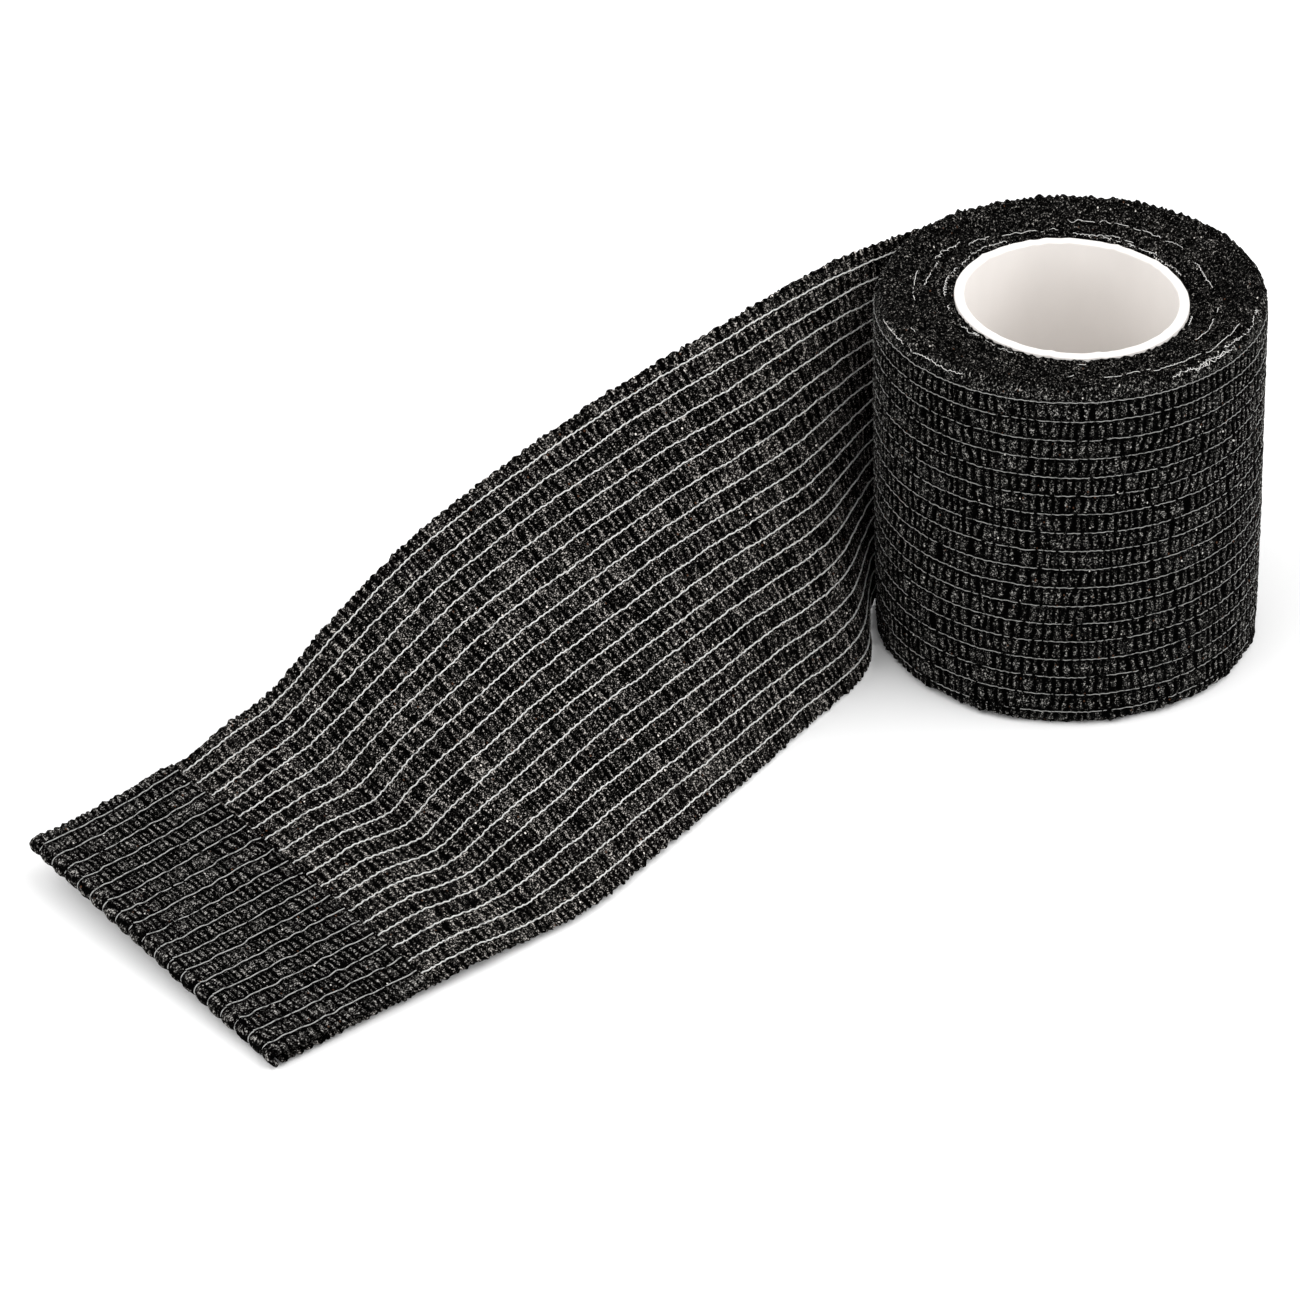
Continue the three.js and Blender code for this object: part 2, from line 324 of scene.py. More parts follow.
def catmull(points, t):
    """Points on a uniform Catmull-Rom curve whose first and last points only steer it."""
    points = np.asarray(points, float)
    i = np.clip(np.floor(t).astype(int), 0, len(points) - 4)
    f = (np.asarray(t) - i)[..., None]
    p0, p1, p2, p3 = points[i], points[i + 1], points[i + 2], points[i + 3]
    square = 2 * p0 - 5 * p1 + 4 * p2 - p3
    cube = 3 * p1 - p0 - 3 * p2 + p3
    return 0.5 * (2 * p1 + (p2 - p0) * f + square * f**2 + cube * f**3)


def on_peel_circle(steps, z):
    """Where the strip lies on the roll; it starts sunk a little into the turn that it comes from."""
    angle = PEEL_ANGLE + steps * PEEL_STEP
    r = PEEL_R if steps > 0 else PEEL_R - START_SUNK
    return (r * math.cos(angle), r * math.sin(angle), z)


def edge_points(steps, z, stations):
    points = [on_peel_circle(k, z) for k in steps] + list(stations)
    last, before = np.array(points[-1], float), np.array(points[-2], float)
    return points + [tuple(2 * last - before)]


LOWER = edge_points((-1, 0, 1), LOWER_START_Z, LOWER_STATIONS)
UPPER = edge_points((-1, 0), UPPER_START_Z, UPPER_STATIONS)


def crease(station, share):
    """How far the strip stands out from its smooth shape, in mm: it sags in one slanting crease where
    it lifts off the floor, with a low ridge beside it."""
    depth = CREASE_DEPTH * np.sin(math.pi * np.clip((share - 0.02) / 0.78, 0, 1)) ** 0.8
    past = station - (CREASE_STATION + CREASE_SLANT * share)
    blunt = 0.03 + 0.20 * np.clip((0.48 - share) / 0.30, 0, 1)
    away = np.sqrt(past**2 + blunt**2) - 0.6 * blunt
    tent = np.clip(1 - away / np.where(past < 0, 0.62, 0.48), 0, 1)
    ridge_height = 0.5 + 1.2 * np.clip((share - 0.75) / 0.25, 0, 1)
    ridge = ridge_height * np.exp(-(((station - RIDGE_STATION) / RIDGE_WIDTH) ** 2))
    return ridge - depth * tent**1.25


def strip_facing(station):
    nudge = 0.02
    ahead = catmull(LOWER, station + nudge) + catmull(UPPER, station + nudge)
    behind = catmull(LOWER, station - nudge) + catmull(UPPER, station - nudge)
    across = catmull(UPPER, station) - catmull(LOWER, station)
    n = np.cross(across, ahead - behind)
    return n / np.linalg.norm(n, axis=-1, keepdims=True)


def strip_point(station, share, raised):
    """Point of the strip; station and share are arrays that broadcast together. raised is in mm
    towards the side that the inner face looks at."""
    station, share = np.broadcast_arrays(np.asarray(station, float), np.asarray(share, float))
    low, high = catmull(LOWER, station), catmull(UPPER, station)
    depth = np.interp(station, [b[0] for b in BOW], [b[1] for b in BOW])
    bow = depth * 4 * share * (1 - share) + crease(station, share)
    return low + (high - low) * share[..., None] + strip_facing(station) * (bow + raised)[..., None]


# ---- materials ----


class Nodes:
    def __init__(self, name):
        self.material = bpy.data.materials.new(name)
        self.material.use_nodes = True
        self.tree = self.material.node_tree
        self.shader = self.tree.nodes["Principled BSDF"]

    def add(self, kind, **settings):
        node = self.tree.nodes.new(kind)
        for key, value in settings.items():
            if key in node.inputs:
                node.inputs[key].default_value = value
            else:
                setattr(node, key, value)
        return node

    def link(self, a, b):
        self.tree.links.new(a, b)

    def scaled(self, vector, scale):
        node = self.add("ShaderNodeVectorMath", operation="MULTIPLY")
        self.link(vector, node.inputs[0])
        node.inputs[1].default_value = scale
        return node.outputs["Vector"]

    def tape_vector(self, scale):
        attribute = self.add("ShaderNodeAttribute", attribute_name="tape")
        return self.scaled(attribute.outputs["Vector"], scale)

    def tape_noise(self, scale, **settings):
        node = self.add("ShaderNodeTexNoise", Scale=1.0, **settings)
        self.link(self.tape_vector(scale), node.inputs["Vector"])
        return node.outputs["Fac"]

    def ramp(self, source, stops):
        ramp = self.add("ShaderNodeValToRGB")
        elements = ramp.color_ramp.elements
        while len(elements) < len(stops):
            elements.new(0.5)
        for element, (position, value) in zip(elements, stops):
            element.position = position
            element.color = (*value, 1) if isinstance(value, tuple) else (value, value, value, 1)
        self.link(source, ramp.inputs["Fac"])
        return ramp.outputs["Color"]

    def sum(self, terms, constant):
        """constant plus each (socket, factor) of terms."""
        total = None
        for socket, factor in terms:
            node = self.add("ShaderNodeMath", operation="MULTIPLY_ADD")
            self.link(socket, node.inputs[0])
            node.inputs[1].default_value = factor
            if total is None:
                node.inputs[2].default_value = constant
            else:
                self.link(total, node.inputs[2])
            total = node.outputs[0]
        return total

    def mask(self, a, b):
        node = self.add("ShaderNodeMath", operation="MULTIPLY")
        self.link(a, node.inputs[0])
        self.link(b, node.inputs[1])
        return node.outputs[0]

    def mix(self, factor, a, b):
        node = self.add("ShaderNodeMix", data_type="RGBA", blend_type="MIX")
        for socket, value in ((node.inputs[0], factor), (node.inputs[6], a), (node.inputs[7], b)):
            if hasattr(value, "is_linked"):
                self.link(value, socket)
            else:
                socket.default_value = (*value, 1)
        return node.outputs[2]

    def bump(self, height, strength, distance):
        node = self.add("ShaderNodeBump", Strength=strength, Distance=distance)
        self.link(height, node.inputs["Height"])
        self.link(node.outputs["Normal"], self.shader.inputs["Normal"])


# how bright the fabric is, as a share of a fibre's colour, from its darkest, where shade is painted
# into the gaps, to its thickest fibres
FIBRE_SHADES = [(0.47, 0.0005), (0.53, 0.010), (0.59, 0.07), (0.65, 0.36), (0.72, 1.0)]
CLUMPS, PATCHES = 0.32, 0.06
BROWN_FIBRE = (0.075, 0.035, 0.020)


def fabric_material(name, bright, streaks, crinkles, cover, reverse=0.0):
    """Black crinkled non-woven: pale fibre specks, and shade painted into the gaps of its crinkles.

    bright is the colour of a fibre, streaks says how much the cross streaks gather the fibres,
    crinkles how much the relief paints shade into the gaps, and cover shifts how many fibres show.
    reverse shifts it once more on the sheet's other face, whose tape coordinate across starts at
    REVERSE_V."""
    n = Nodes(name)
    attribute = n.add("ShaderNodeAttribute", attribute_name="tape")
    split = n.add("ShaderNodeSeparateXYZ")
    n.link(attribute.outputs["Vector"], split.inputs[0])
    fine = n.tape_noise((5.0, 4.6, 0), Detail=1.5, Roughness=0.7)
    clump = n.tape_noise((2.4, 1.9, 0), Detail=0.0)
    streak = n.tape_noise((2.3, 0.5, 0), Detail=1.0)
    patch = n.tape_noise((0.28, 0.22, 0), Detail=1.0)
    other_face = n.add("ShaderNodeMath", operation="GREATER_THAN")
    n.link(split.outputs["Y"], other_face.inputs[0])
    other_face.inputs[1].default_value = REVERSE_V - 5
    # the tape's third value is the crinkle relief from 0 to 1; weighted by crinkles it paints shade
    # into the gaps
    terms = [(fine, 1.0), (clump, CLUMPS), (streak, streaks), (split.outputs["Z"], crinkles),
             (patch, PATCHES), (other_face.outputs[0], reverse)]
    middle = 0.5 * (streaks + CLUMPS + PATCHES) + 0.7 * crinkles
    fibres = n.sum(terms, cover - middle)
    colour = n.ramp(fibres, [(at, tuple(share * c for c in bright)) for at, share in FIBRE_SHADES])
    colour = add_odd_fibres(n, colour, bright)
    n.link(colour, n.shader.inputs["Base Color"])
    n.link(n.ramp(fine, [(0.3, 0.95), (0.8, 0.7)]), n.shader.inputs["Roughness"])
    n.bump(fibres, 0.8, 0.00012)
    n.shader.inputs["Specular IOR Level"].default_value = 0.01
    return n.material


def add_odd_fibres(n, colour, bright):
    """A few brown dots and a few white ones over the colour."""
    dots = n.add("ShaderNodeTexVoronoi", Scale=1.0)
    n.link(n.tape_vector((1.1, 0.8, 0)), dots.inputs["Vector"])
    dot = n.ramp(dots.outputs["Distance"], [(0.09, 1.0), (0.13, 0.0)])
    chosen = n.add("ShaderNodeSeparateColor")
    n.link(dots.outputs["Color"], chosen.inputs[0])
    brown = n.mask(dot, n.ramp(chosen.outputs[0], [(0.80, 0.0), (0.82, 1.0)]))
    white = n.mask(dot, n.ramp(chosen.outputs[1], [(0.84, 0.0), (0.86, 1.0)]))
    colour = n.mix(brown, colour, BROWN_FIBRE)
    return n.mix(white, colour, tuple(min(1.0, 1.6 * c) for c in bright))


def thread_material(name, bright):
    """Pale elastic yarn with a slight twist, dimmer where fibres cover it."""
    n = Nodes(name)
    twist = n.tape_noise((2.2, 1.0, 2.0), Detail=2.0)
    covered = tuple(0.35 * b for b in bright)
    n.link(n.ramp(twist, [(0.32, covered), (0.52, bright)]), n.shader.inputs["Base Color"])
    n.bump(twist, 0.4, 0.00005)
    n.shader.inputs["Roughness"].default_value = 0.6
    n.shader.inputs["Specular IOR Level"].default_value = 0.2
    return n.material


def core_material():
    """Off-white moulded plastic with a faint mottle and a few specks of dust."""
    n = Nodes("core_plastic")
    geometry = n.add("ShaderNodeNewGeometry")
    position = n.scaled(geometry.outputs["Position"], (120, 120, 60))
    mottle = n.add("ShaderNodeTexNoise", Scale=1.0, Detail=3.0)
    n.link(position, mottle.inputs["Vector"])
    body = n.ramp(mottle.outputs["Fac"], [(0.3, (0.80, 0.765, 0.735)), (0.7, (0.85, 0.815, 0.785))])
    dust = n.add("ShaderNodeTexVoronoi", Scale=1.6)
    n.link(position, dust.inputs["Vector"])
    speck = n.ramp(dust.outputs["Distance"], [(0.035, 1.0), (0.05, 0.0)])
    n.link(n.mix(speck, body, (0.25, 0.24, 0.23)), n.shader.inputs["Base Color"])
    n.link(n.ramp(mottle.outputs["Fac"], [(0.3, 0.42), (0.7, 0.3)]), n.shader.inputs["Roughness"])
    n.bump(mottle.outputs["Fac"], 0.15, 0.0002)
    return n.material


def paint(obj, material):
    obj.data.materials.clear()
    obj.data.materials.append(material)


inner_fabric = fabric_material("fabric_inner_face", (0.54, 0.505, 0.47), 0.12, 0.38, -0.010, -0.05)
outer_fabric = fabric_material("fabric_outer_face", (0.38, 0.37, 0.35), 0.08, 0.42, -0.070)
tab_fabric = fabric_material("fabric_tab", (0.38, 0.365, 0.345), 0.08, 0.38, -0.030, 0.05)
end_fabric = fabric_material("fabric_cut_edges", (0.40, 0.38, 0.355), 0.05, 0.20, -0.010)
bright_thread = thread_material("thread_inner_face", (0.66, 0.66, 0.645))
dim_thread = thread_material("thread_outer_face", (0.31, 0.31, 0.30))
tab_thread = thread_material("thread_tab", (0.40, 0.40, 0.39))
yarn_thread = thread_material("thread_loose", (0.80, 0.79, 0.77))

# ---- camera ----

LENS, SENSOR = 137.694, 36  # mm
VIEW_DISTANCE = 650 * MM
VIEW_TARGET = (-54.45, -3.486, 0)
VIEW_PITCH, VIEW_ROLL = 0.5938, -0.0393  # radians


def make_camera():
    distance, pitch, roll = VIEW_DISTANCE, VIEW_PITCH, VIEW_ROLL
    target = Vector(place(VIEW_TARGET))
    data = bpy.data.cameras.new("camera")
    data.sensor_width = SENSOR
    data.lens = LENS
    camera = bpy.data.objects.new("camera", data)
    bpy.context.scene.collection.objects.link(camera)
    forward = Vector((0, math.cos(pitch), -math.sin(pitch)))
    right, up = Vector((1, 0, 0)), Vector((0, math.sin(pitch), math.cos(pitch)))
    turned_right = math.cos(roll) * right + math.sin(roll) * up
    turned_up = -math.sin(roll) * right + math.cos(roll) * up
    matrix = Matrix((turned_right, turned_up, -forward)).transposed().to_4x4()
    matrix.translation = target - forward * distance
    camera.matrix_world = matrix
    data.clip_start = 0.01
    bpy.context.scene.camera = camera


make_camera()

# ---- core ----


def core_place(r, angle, z):
    """Points at a radius about the core's own axis, on its slightly oval section."""
    x = r * np.cos(angle)
    y = CORE_STRETCH_Y * r * np.sin(angle) + CORE_OVAL * x + CORE_SHIFT_Y
    return np.stack(np.broadcast_arrays(x, y, z), -1)


def core_profile():
    """Radius and height round the wall's section: four rounded corners joined by straight runs."""
    outer, bore = CORE_OUTER_R - RIM_ROUND, CORE_BORE_R + RIM_ROUND
    low, high = RIM_ROUND, CORE_HEIGHT - RIM_ROUND
    quarter = math.pi / 2
    corners = ((outer, low, -quarter), (outer, high, 0), (bore, high, quarter), (bore, low, math.pi))
    rounded = []
    for r, z, start in corners:
        for a in np.linspace(0, quarter, CORNER_POINTS):
            rounded.append((r + RIM_ROUND * math.cos(start + a), z + RIM_ROUND * math.sin(start + a)))
    filled = []
    for (ra, za), (rb, zb) in zip(rounded, rounded[1:] + rounded[:1]):
        steps = max(1, int(abs(zb - za) / WALL_STEP))
        filled += [(ra + (rb - ra) * k / steps, za + (zb - za) * k / steps) for k in range(steps)]
    return np.array(filled)


def make_core():
    angle = full_turn(CORE_COLUMNS)[:, None]
    profile = core_profile()
    r, z = profile[None, :, 0], profile[None, :, 1]
    burr = noise(angle * 14, 0.5, 71) ** 3 * RIM_BURR - 0.05
    z = z + np.where(z > CORE_HEIGHT - 1.0, burr, 0)
    points = place(core_place(r, angle, z).reshape(-1, 3))
    core = new_object("core", points, grid_quads(CORE_COLUMNS, len(profile), True, True))
    facing_out(core)
    paint(core, core_material())
    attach(core, "roll")
    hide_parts("core_tube")


make_core()

# ---- wound roll ----


def roll_radius(angle):
    """Outer radius of the pack: a spiral turn, eased over the step where the tape leaves."""
    share = ((angle - PEEL_ANGLE) / (2 * math.pi)) % 1.0
    spiral = PACK_OUTER_R - TURN_PITCH * (1 - share)
    ease = np.clip(share / PEEL_EASE, 0, 1)
    return spiral + TURN_PITCH * (1 - ease) * (1 - share)


def roll_swell(s, v):
    """Slow bulges of the roll's side, in mm."""
    return 0.30 * (noise(s / 22, v / 17, 31) - 0.5)


def side_relief(s, v):
    """Height of the roll's crinkled side above its mean in mm, and from 0 to 1 for the shade painted
    into its gaps.
    """
    _, across = cells(v)
    ridge = puckers(s, v, ROLL_CRINKLE, ROLL_SEED)
    pillow = np.sin(math.pi * across) ** 0.6
    height = 0.42 * (ridge - 0.75) * (0.3 + 0.7 * pillow) + 0.10 * pillow + 0.08 * grain(s, v, 21)
    return height + roll_swell(s, v), np.clip(ridge * (0.55 + 0.45 * pillow), 0, 1)


def close_ring(name, loop, tape, material):
    """Closed ring of the roll from a loop of points [round the axis, round the section, 3]."""
    columns, rows, _ = loop.shape
    obj = new_object(name, place(loop.reshape(-1, 3)), grid_quads(columns, rows, True, True))
    set_tape_attribute(obj, tape.reshape(-1, 3))
    facing_out(obj)
    paint(obj, material)
    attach(obj, "roll")
    return obj


def make_roll_side():
    """The outermost turns: a tall ring with the crinkled outer face of the tape."""
    angle = full_turn(int(620 / FINE))[:, None]
    s = angle * PACK_OUTER_R
    v = np.linspace(0, TAPE_WIDTH, int(128 / FINE) + 1)[None]
    height, relief = side_relief(s + 0 * v, v + 0 * s)
    edge = from_selvedge(v)
    top_row = np.clip((v - TAPE_WIDTH + TOP_MARGIN + 0.3) / 0.5, 0, 1)
    height = height * (1 - 0.7 * top_row)
    # the flattened top row gets a high value here, so little of the painted gap shade
    relief = relief * (1 - top_row) + top_row * (0.72 + 0.28 * noise(s / 0.6, v / 0.6, 37))
    knob = 0.75 * (knobs(s, 35) - 0.4) * (edge < 0.8)
    sway = 0.9 * (noise(s / 3.4, 1.5 + 0 * s, 38) - 0.5) * np.clip(1 - v / 4, 0, 1)
    tuck = 0.9 * np.clip(1 - edge / TOP_MARGIN, 0, 1) ** 2
    lift = 0.8 * (knobs(s, 36) - 0.5)
    ragged = 0.7 * noise(s / 2.6, 2.5 + 0 * s, 39)
    z = v + np.where(v > TAPE_WIDTH / 2, lift, lift + ragged) * np.clip(1 - edge / 0.8, 0, 1)
    z = np.clip(z, 0.05, TAPE_WIDTH + 0.6)
    outer = polar(roll_radius(angle) + height + knob + sway - tuck, angle, z)
    back = [polar(r, angle, z) for r, z in ((23.6, 49.6), (22.5, 49.0), (22.5, 1.0), (23.6, 0.4))]
    tape = np.stack(np.broadcast_arrays(s, v, relief), -1)
    back_tape = np.stack(np.broadcast_arrays(s, REVERSE_V + np.arange(4)[None], 0.5), -1)
    loop = np.concatenate([outer] + back, axis=1)
    side = close_ring("roll_side", loop, np.concatenate([tape, back_tape], axis=1), outer_fabric)
    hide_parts("outer_turn")


def make_roll_end(name, level, sign, seed):
    """One end of the pack: the lumpy cut edges of all the turns."""
    angle = full_turn(int(560 / FINE))[:, None]
    share = np.linspace(0, 1, int(66 / FINE))[None]
    rim = roll_radius(angle) - 0.65
    radius = PACK_BORE_R + (rim - PACK_BORE_R) * share
    x, y = radius * np.cos(angle), radius * np.sin(angle)
    coil = 0.5 + 0.5 * np.cos(2 * math.pi * (radius / TURN_PITCH - angle / (2 * math.pi)))
    bumps = noise(x / 0.55, y / 0.55, seed) + 0.7 * noise(x / 0.34, y / 0.34, seed + 1)
    wide = noise(x / 5, y / 5, seed + 2) - 0.5
    sag = 0.4 * np.clip(1 - (1 - share) / 0.08, 0, 1) ** 2
    z = level + sign * (0.10 * coil + 0.40 * (bumps - 0.85) + 0.35 * wide - sag)
    z = np.clip(z, 0.02, TAPE_WIDTH + 0.5)
    face = core_place(PACK_BORE_R, angle, z) * (1 - share[..., None])
    face = face + polar(rim, angle, z) * share[..., None]
    back_z = level - sign * 8
    back = [core_place(PACK_BORE_R, angle, back_z), polar(23.8, angle, back_z)]
    # this value paints shade onto the cut edges, darker where their bumps are low
    relief = np.clip(0.15 + 0.5 * bumps, 0, 1)
    tape = np.stack(np.broadcast_arrays(x, END_V + y, relief), -1)[:, ::-1]
    back_tape = np.stack(np.broadcast_arrays(x[:, :1], END_V + np.arange(2)[None], 0.5), -1)
    loop = np.concatenate([face[:, ::-1]] + back, axis=1)
    return close_ring(name, loop, np.concatenate([tape, back_tape], axis=1), end_fabric)


def make_roll_inside():
    """The middle of the pack, behind the two ends and the side."""
    angle = full_turn(96)[:, None]
    ring = [core_place(PACK_BORE_R + 0.02, angle, z) for z in (5, 45)]
    ring += [polar(23, angle, z) for z in (45, 5)]
    tape = np.stack(np.broadcast_arrays(angle * 20, np.arange(4)[None], 0.5), -1)
    close_ring("roll_inside", np.concatenate(ring, axis=1), tape, end_fabric)


def make_roll_threads():
    paths = []
    angle = np.linspace(0, 2 * math.pi, int(640 / FINE)) + PEEL_ANGLE
    turn = angle % (2 * math.pi)
    s = turn * PACK_OUTER_R
    for index, level in enumerate(thread_heights()):
        wander = 0.16 * (noise(angle * 12, index * 1.3 + 0.5, 61) - 0.5)
        phase = crinkle_phase(s, level - 0.3 + 0 * s, ROLL_CRINKLE, ROLL_SEED)
        dip = 0.07 * np.cos(2 * math.pi * phase) + 0.16 * (noise(s / 0.8, index * 2.1 + 0.5, 62) - 0.5)
        r = roll_radius(turn) + roll_swell(s, level + 0 * s) + 0.08 + dip
        paths.append(polar(r, angle, level + wander))
    threads = tubes("roll_threads", paths, ROLL_THREAD_R)
    paint(threads, dim_thread)
    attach(threads, "roll")
    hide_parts(*thread_nodes("roll"))


def make_roll():
    make_roll_side()
    top = make_roll_end("roll_top", TAPE_WIDTH - 0.1, 1, 41)
    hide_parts("wound_tape")
    make_roll_end("roll_bottom", 0.35, -1, 51)
    make_roll_inside()
    make_roll_threads()


make_roll()

# ---- pulled-off strip ----


def strip_relief(s, v):
    """Height of the strip's crinkle above its middle, in mm, and the same from 0 to 1 for the shade
    painted into its gaps.
    """
    _, across = cells(v)
    ridge = puckers(s, v, STRIP_CRINKLE, STRIP_SEED)
    pillow = np.sin(math.pi * across) ** 0.7
    streak = noise(s / 0.42, v / 2.2, 115) - 0.5
    height = 0.20 * (ridge - 0.7) + 0.06 * pillow + 0.14 * streak + 0.07 * grain(s, v, 121)
    return height, np.clip(0.2 + 0.6 * ridge + 0.3 * streak, 0, 1)


def edge_wave(s, v):
    """In-plane wander of the selvedges, in mm."""
    low = np.clip(1 - v / 0.5, 0, 1) * (knobs(s, 131) - 0.45)
    high = np.clip(1 - (TAPE_WIDTH - v) / 0.5, 0, 1) * (knobs(s, 135) - 0.45)
    fuzz = 0.22 * (noise(s / 0.36, 2.5 + 0 * s, 138) - 0.5)
    return 0.6 * (high - low) + fuzz * (from_selvedge(v) < 0.5)


def half_thickness(v):
    """Half of the web's thickness, which tapers at the selvedges."""
    return WEB_HALF * (1 - 0.7 * np.clip(1 - from_selvedge(v) / 0.4, 0, 1))


def make_strip_part(name, start, end):
    along = np.linspace(start, end, int((end - start) * STATION_GAP / (0.24 * FINE)))
    station, v = np.meshgrid(along, np.linspace(0, TAPE_WIDTH, int(125 / FINE)), indexing="ij")
    s = station * STATION_GAP
    height, relief = strip_relief(s, v)
    share = (v + edge_wave(s, v)) / TAPE_WIDTH
    inner = strip_point(station, share, height + half_thickness(v))
    outer_height = height + 0.10 * (puckers(s, v, OUTER_FACE_CRINKLE, OUTER_FACE_SEED) - 0.5) - 0.05
    outer = strip_point(station, share, outer_height - half_thickness(v))
    inner_tape = np.stack([s, v, relief], -1)
    outer_tape = np.stack([s, v + REVERSE_V, relief], -1)
    obj = slab(name, inner, outer, inner_tape, outer_tape)
    paint(obj, inner_fabric)
    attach(obj, "strip")
    return obj


strip_near = make_strip_part("strip_near", 0.0, LAST_STATION / 2)
strip_far = make_strip_part("strip_far", LAST_STATION / 2, STRIP_END)
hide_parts("strip_web")
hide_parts("strip_web")


def make_strip_threads():
    paths, back = [], []
    station = np.linspace(0, STRIP_END, int(137 / (0.3 * FINE)))
    s = station * STATION_GAP
    for index, level in enumerate(thread_heights()):
        wander = 0.22 * (noise(s / 1.6, index * 1.7 + 0.5, 151) - 0.5)
        wander = wander + 0.3 * (noise(s / 9, index * 2.3 + 0.5, 152) - 0.5)
        wave = np.sin(2 * math.pi * crinkle_phase(s, level - 0.3 + 0 * s, STRIP_CRINKLE, STRIP_SEED))
        lift = WEB_HALF + 0.10 + 0.08 * noise(s / 1.1, index * 3.1 + 0.5, 153) + 0.03 * wave
        paths.append(strip_point(station, (level + wander + 0.07 * wave) / TAPE_WIDTH, lift))
        back.append(strip_point(station, level / TAPE_WIDTH, -WEB_HALF - 0.06))
    threads = tubes("strip_threads", paths, STRIP_THREAD_R)
    paint(threads, bright_thread)
    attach(threads, "strip")
    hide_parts(*thread_nodes("strip"))
    backs = tubes("strip_threads_outer_face", back, STRIP_THREAD_R)
    paint(backs, dim_thread)
    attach(backs, "strip")


make_strip_threads()

# ---- folded tab ----

fold_low = strip_point(LAST_STATION, 0.0, 0.0)
fold_high = strip_point(LAST_STATION, 1.0, 0.0)
fold_up = strip_facing(np.float64(LAST_STATION))
fold_along = (fold_high - fold_low) / np.linalg.norm(fold_high - fold_low)
fold_out = np.cross(fold_up, fold_along)


def tab_point(s, share, raised):
    """Point of the tab: s from 0 at its start under the fold, round the bend, then back. raised is
    towards the outside of the fold."""
    s, share, raised = [np.asarray(value, float) for value in (s, share, raised)]
    s, share, raised = np.broadcast_arrays(s, share, raised)
    angle = np.clip(s / BEND_LENGTH, 0, 1) * math.pi - math.pi / 2
    axis = fold_low + (fold_high - fold_low) * share[..., None] + fold_up * FOLD_LIFT / 2
    facing = np.cos(angle)[..., None] * fold_out + np.sin(angle)[..., None] * fold_up
    round_bend = axis + facing * (FOLD_LIFT / 2 + raised)[..., None]
    along = np.clip(s - BEND_LENGTH, 0, None)
    station = LAST_STATION - along * (1 - TAB_SKEW * share) / STATION_GAP
    lift = FOLD_LIFT - FOLD_SINK * (1 - np.exp(-along / 4))
    flat = strip_point(station, share, lift + raised)
    return np.where((s > BEND_LENGTH)[..., None], flat, round_bend)


def tab_swell(s, v):
    """Soft bulges between the threads, strongest at the fold; also their crinkle from 0 to 1, for the
    shade painted into the gaps.
    """
    _, across = cells(v)
    near_fold = np.exp(-np.abs(s - 2.0) / 2.6)
    ridge = puckers(s, v, TAB_CRINKLE, TAB_SEED)
    pillow = np.sin(math.pi * across) ** 0.75
    streak = noise(s / 0.45, v / 1.8, 215) - 0.5
    height = 0.38 * near_fold * (pillow - 0.45) + 0.22 * (ridge - 0.6) + 0.12 * streak
    height = height + 0.10 * pillow + 0.06 * grain(s, v, 221)
    return height, np.clip(ridge * (0.45 + 0.55 * pillow), 0, 1)


TAB_END = BEND_LENGTH + TAB_LENGTH


def make_tab_part(name, start, end, spacing):
    along = np.linspace(start, end, int((end - start) / (spacing * FINE)))
    s, v = np.meshgrid(along, np.linspace(0, TAPE_WIDTH, int(170 / FINE)), indexing="ij")
    height, relief = tab_swell(s, v)
    share = (v + edge_wave(s + TAB_S, v)) / TAPE_WIDTH
    ragged = 0.35 * (noise(v / 0.8, 3.5 + 0 * v, 231) - 0.5) * (s > TAB_END - 0.05)
    outer = tab_point(s + ragged, share, height + half_thickness(v))
    inner = tab_point(s + ragged, share, np.minimum(height, 0.35) * 0.5 - half_thickness(v))
    outer_tape = np.stack([s + TAB_S, v, relief], -1)
    inner_tape = np.stack([s + TAB_S, v + REVERSE_V, relief], -1)
    obj = slab(name, inner, outer, inner_tape, outer_tape)
    paint(obj, tab_fabric)
    return obj


def across_fold(piece):
    """Bakes a piece of the bend's transform into its mesh; it is attached to neither the strip nor the
    tab.
    """
    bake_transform(piece)


def make_tab():
    tab = make_tab_part("tab", BEND_LENGTH * 0.98, TAB_END, 0.26)
    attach(tab, "tab")
    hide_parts("tab_web")
    across_fold(make_tab_part("fold_bend", 0.0, BEND_LENGTH, 0.16))


